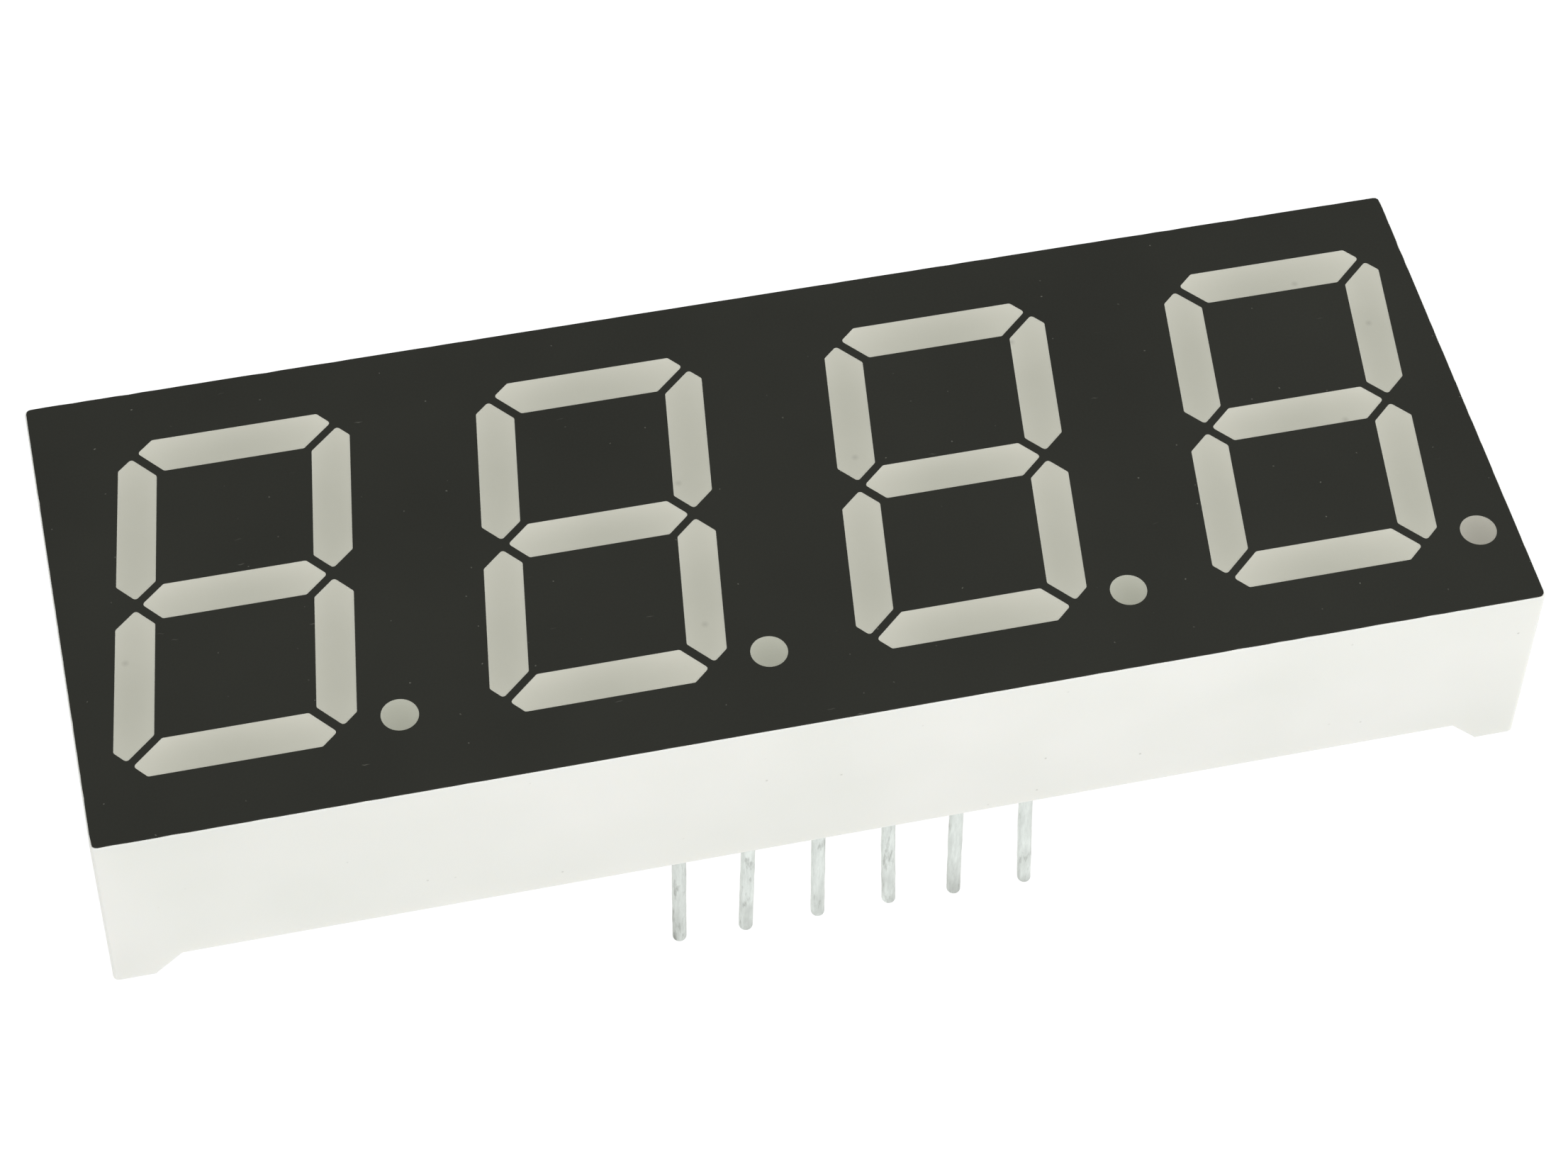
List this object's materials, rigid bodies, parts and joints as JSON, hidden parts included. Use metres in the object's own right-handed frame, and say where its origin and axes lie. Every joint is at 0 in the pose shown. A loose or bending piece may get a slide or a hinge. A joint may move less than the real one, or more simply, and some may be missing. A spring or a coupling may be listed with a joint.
{
  "type": "seven segment display module",
  "caption": "Flat oblong LED display: slanted seven-segment digits with decimal points on a black face, in a white moulded housing on corner feet, with rows of round pins for a circuit board.",
  "frame": {"origin": "centre of the pin pattern, on the plane of the feet's soles", "axes": "+X along the row of digits to their right, +Y towards the tops of the digits, +Z out of the display face"},
  "size_m": [0.0505, 0.0192, 0.015],
  "materials": {
    "housing_plastic": "moulded white plastic, satin",
    "face_ink": "screen-printed black ink, matt",
    "segment_resin": "diffused milky resin, satin",
    "board_laminate": "glass-epoxy laminate",
    "copper": "etched copper",
    "solder": "tin solder",
    "potting_resin": "cast milky resin",
    "led_crystal": "cut semiconductor crystal",
    "bond_wire": "bright drawn wire",
    "tinned_wire": "tinned round wire, finely scratched"
  },
  "bodies": {
    "root": {"reflector_housing": "housing_plastic", "face_print": "face_ink", "circuit_board": "board_laminate", "copper_pads": "copper", "solder_joints": "solder", "back_potting": "potting_resin", "digit_1_segment_a": "segment_resin", "digit_1_segment_b": "segment_resin", "digit_1_segment_c": "segment_resin", "digit_1_segment_d": "segment_resin", "digit_1_segment_e": "segment_resin", "digit_1_segment_f": "segment_resin", "digit_1_segment_g": "segment_resin", "digit_1_point": "segment_resin", "digit_1_led_dies": "led_crystal", "digit_1_bond_wires": "bond_wire", "digit_2_segment_a": "segment_resin", "digit_2_segment_b": "segment_resin", "digit_2_segment_c": "segment_resin", "digit_2_segment_d": "segment_resin", "digit_2_segment_e": "segment_resin", "digit_2_segment_f": "segment_resin", "digit_2_segment_g": "segment_resin", "digit_2_point": "segment_resin", "digit_2_led_dies": "led_crystal", "digit_2_bond_wires": "bond_wire", "digit_3_segment_a": "segment_resin", "digit_3_segment_b": "segment_resin", "digit_3_segment_c": "segment_resin", "digit_3_segment_d": "segment_resin", "digit_3_segment_e": "segment_resin", "digit_3_segment_f": "segment_resin", "digit_3_segment_g": "segment_resin", "digit_3_point": "segment_resin", "digit_3_led_dies": "led_crystal", "digit_3_bond_wires": "bond_wire", "digit_4_segment_a": "segment_resin", "digit_4_segment_b": "segment_resin", "digit_4_segment_c": "segment_resin", "digit_4_segment_d": "segment_resin", "digit_4_segment_e": "segment_resin", "digit_4_segment_f": "segment_resin", "digit_4_segment_g": "segment_resin", "digit_4_point": "segment_resin", "digit_4_led_dies": "led_crystal", "digit_4_bond_wires": "bond_wire", "pin_01": "tinned_wire", "pin_02": "tinned_wire", "pin_03": "tinned_wire", "pin_04": "tinned_wire", "pin_05": "tinned_wire", "pin_06": "tinned_wire", "pin_07": "tinned_wire", "pin_08": "tinned_wire", "pin_09": "tinned_wire", "pin_10": "tinned_wire", "pin_11": "tinned_wire", "pin_12": "tinned_wire"}
  },
  "joints": []
}
